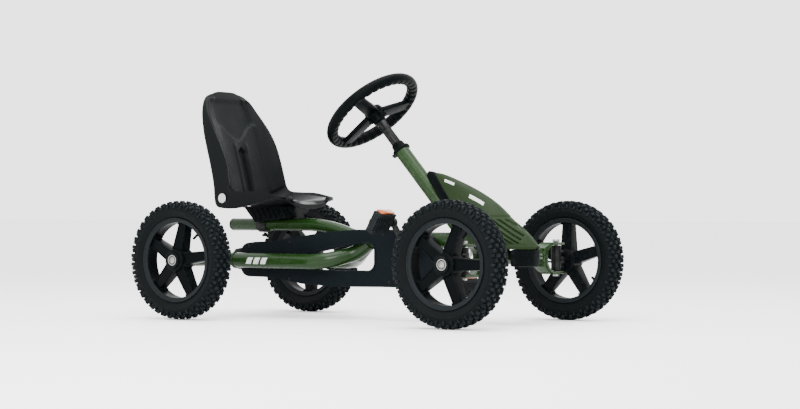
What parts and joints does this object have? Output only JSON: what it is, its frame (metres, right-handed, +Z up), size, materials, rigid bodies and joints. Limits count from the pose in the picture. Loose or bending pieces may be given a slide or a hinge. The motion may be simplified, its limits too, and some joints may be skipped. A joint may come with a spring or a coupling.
{
  "type": "pedal go kart",
  "caption": "Child's pedal go kart with a bucket seat on a tube frame, chain drive, spoked wheels with knobbly tyres, a three-spoke steering wheel and a wedge nose.",
  "frame": {"origin": "on the ground, midway between the axles and between the wheels", "axes": "+X forward, +Y to the driver's left, +Z up"},
  "size_m": [1.138, 0.618, 0.631],
  "materials": {
    "frame_green": "gloss green paint with a fine metallic flake",
    "nose_green": "satin moulded plastic",
    "seat_black": "half-gloss blow-moulded plastic",
    "cover_black": "satin moulded plastic with a fine grain",
    "trim_black": "satin moulded plastic",
    "tyre_rubber": "matte rubber with a block tread",
    "rim_grey": "satin glass-filled plastic",
    "bright_steel": "bright zinc plate",
    "black_steel": "black coated steel",
    "reflector_orange": "clear orange reflector"
  },
  "bodies": {
    "frame": {"upper_seat_tube": "frame_green", "side_tube_right": "frame_green", "side_tube_left": "frame_green", "rear_axle_tube_right": "frame_green", "rear_axle_tube_left": "frame_green", "main_tube": "frame_green", "head_tube": "frame_green", "bottom_bracket_shell": "frame_green", "front_fork_bracket": "frame_green", "axle_swing_pin": "black_steel", "column_collar": "trim_black", "column_lower_bush": "trim_black", "seat_tube_end_cap": "trim_black", "rear_axle_bearing_right": "bright_steel", "rear_axle_bearing_left": "bright_steel", "chain": "black_steel", "chain_cover_outer": "cover_black", "chain_cover_inner": "cover_black", "nose_shell": "nose_green", "nose_rear_trim": "trim_black", "nose_bumper": "trim_black"},
    "seat": {"seat_shell": "seat_black", "seat_bracket": "trim_black", "seat_clamp_strap": "black_steel"},
    "clamp_knob": {"seat_clamp_knob": "trim_black"},
    "steering": {"steering_wheel": "trim_black", "steering_hub_cap": "trim_black", "steering_shaft": "black_steel", "drop_arm": "bright_steel"},
    "front_axle": {"front_axle_beam": "frame_green", "axle_fork_right": "frame_green", "axle_fork_left": "frame_green", "kingpin_right": "bright_steel", "kingpin_left": "bright_steel"},
    "knuckle_right": {"steering_knuckle_right": "black_steel"},
    "knuckle_left": {"steering_knuckle_left": "black_steel"},
    "link_right": {"tie_rod_right": "bright_steel"},
    "link_left": {"tie_rod_left": "bright_steel"},
    "wheel_front_right": {"tyre_front_right": "tyre_rubber", "rim_front_right": "rim_grey", "bearing_front_right": "bright_steel"},
    "wheel_front_left": {"tyre_front_left": "tyre_rubber", "rim_front_left": "rim_grey", "bearing_front_left": "bright_steel"},
    "wheel_rear_right": {"tyre_rear_right": "tyre_rubber", "rim_rear_right": "rim_grey", "bearing_rear_right": "bright_steel"},
    "rear_axle": {"rear_axle_shaft": "bright_steel", "brake_hub_sprocket": "black_steel", "tyre_rear_left": "tyre_rubber", "rim_rear_left": "rim_grey", "bearing_rear_left": "bright_steel"},
    "crank": {"crank_spindle": "bright_steel", "chainring": "black_steel", "crank_arm_right": "black_steel", "crank_arm_left": "black_steel"},
    "right_pedal": {"pedal_right": "trim_black", "pedal_reflector_right": "reflector_orange"},
    "left_pedal": {"pedal_left": "trim_black", "pedal_reflector_left": "reflector_orange"}
  },
  "joints": [
    {"name": "seat_slide", "type": "slide", "parent": "frame", "child": "seat", "axis": [1, 0, 0], "range_m": [-0.05, 0.04]},
    {"name": "clamp_knob_turn", "type": "hinge", "parent": "seat", "child": "clamp_knob", "pos_m": [-0.348, 0, 0.209], "axis": [0, 0, 1], "range_deg": [0, 360]},
    {"name": "steering_turn", "type": "hinge", "parent": "frame", "child": "steering", "pos_m": [-0.0045, 0, 0.537], "axis": [0.6626, 0, -0.749], "range_deg": [-32, 32]},
    {"name": "axle_swing", "type": "hinge", "parent": "frame", "child": "front_axle", "pos_m": [0.416, 0, 0.165], "axis": [1, 0, 0], "range_deg": [-6, 6]},
    {"name": "knuckle_turn_right", "type": "hinge", "parent": "front_axle", "child": "knuckle_right", "pos_m": [0.416, -0.214, 0.153], "axis": [0, 0, 1], "range_deg": [-22.5, 22.5]},
    {"name": "link_turn_right", "type": "hinge", "parent": "knuckle_right", "child": "link_right", "pos_m": [0.352, -0.206, 0.158], "axis": [0, 0, 1], "range_deg": [-25, 25]},
    {"name": "front_wheel_spin_right", "type": "hinge", "parent": "knuckle_right", "child": "wheel_front_right", "pos_m": [0.416, -0.275, 0.153], "axis": [0, 1, 0], "continuous": true},
    {"name": "knuckle_turn_left", "type": "hinge", "parent": "front_axle", "child": "knuckle_left", "pos_m": [0.416, 0.214, 0.153], "axis": [0, 0, 1], "range_deg": [-22.5, 22.5]},
    {"name": "link_turn_left", "type": "hinge", "parent": "knuckle_left", "child": "link_left", "pos_m": [0.352, 0.206, 0.158], "axis": [0, 0, 1], "range_deg": [-25, 25]},
    {"name": "front_wheel_spin_left", "type": "hinge", "parent": "knuckle_left", "child": "wheel_front_left", "pos_m": [0.416, 0.275, 0.153], "axis": [0, 1, 0], "continuous": true},
    {"name": "rear_axle_spin", "type": "hinge", "parent": "frame", "child": "rear_axle", "pos_m": [-0.416, 0, 0.153], "axis": [0, 1, 0], "continuous": true},
    {"name": "rear_wheel_spin_right", "type": "hinge", "parent": "frame", "child": "wheel_rear_right", "pos_m": [-0.416, -0.275, 0.153], "axis": [0, 1, 0], "continuous": true},
    {"name": "crank_spin", "type": "hinge", "parent": "frame", "child": "crank", "pos_m": [0.153, 0, 0.168], "axis": [0, 1, 0], "continuous": true},
    {"name": "pedal_spin_right", "type": "hinge", "parent": "crank", "child": "right_pedal", "pos_m": [0.11783, -0.135, 0.25085], "axis": [0, 1, 0], "continuous": true},
    {"name": "pedal_spin_left", "type": "hinge", "parent": "crank", "child": "left_pedal", "pos_m": [0.18817, 0.135, 0.08515], "axis": [0, 1, 0], "continuous": true}
  ],
  "couplings": [
    {"joint": "crank_spin", "follows": "rear_axle_spin", "ratio": 0.5},
    {"joint": "knuckle_turn_right", "follows": "steering_turn", "ratio": -0.7},
    {"joint": "link_turn_right", "follows": "steering_turn", "ratio": 0.77},
    {"joint": "knuckle_turn_left", "follows": "steering_turn", "ratio": -0.7},
    {"joint": "link_turn_left", "follows": "steering_turn", "ratio": 0.77}
  ]
}
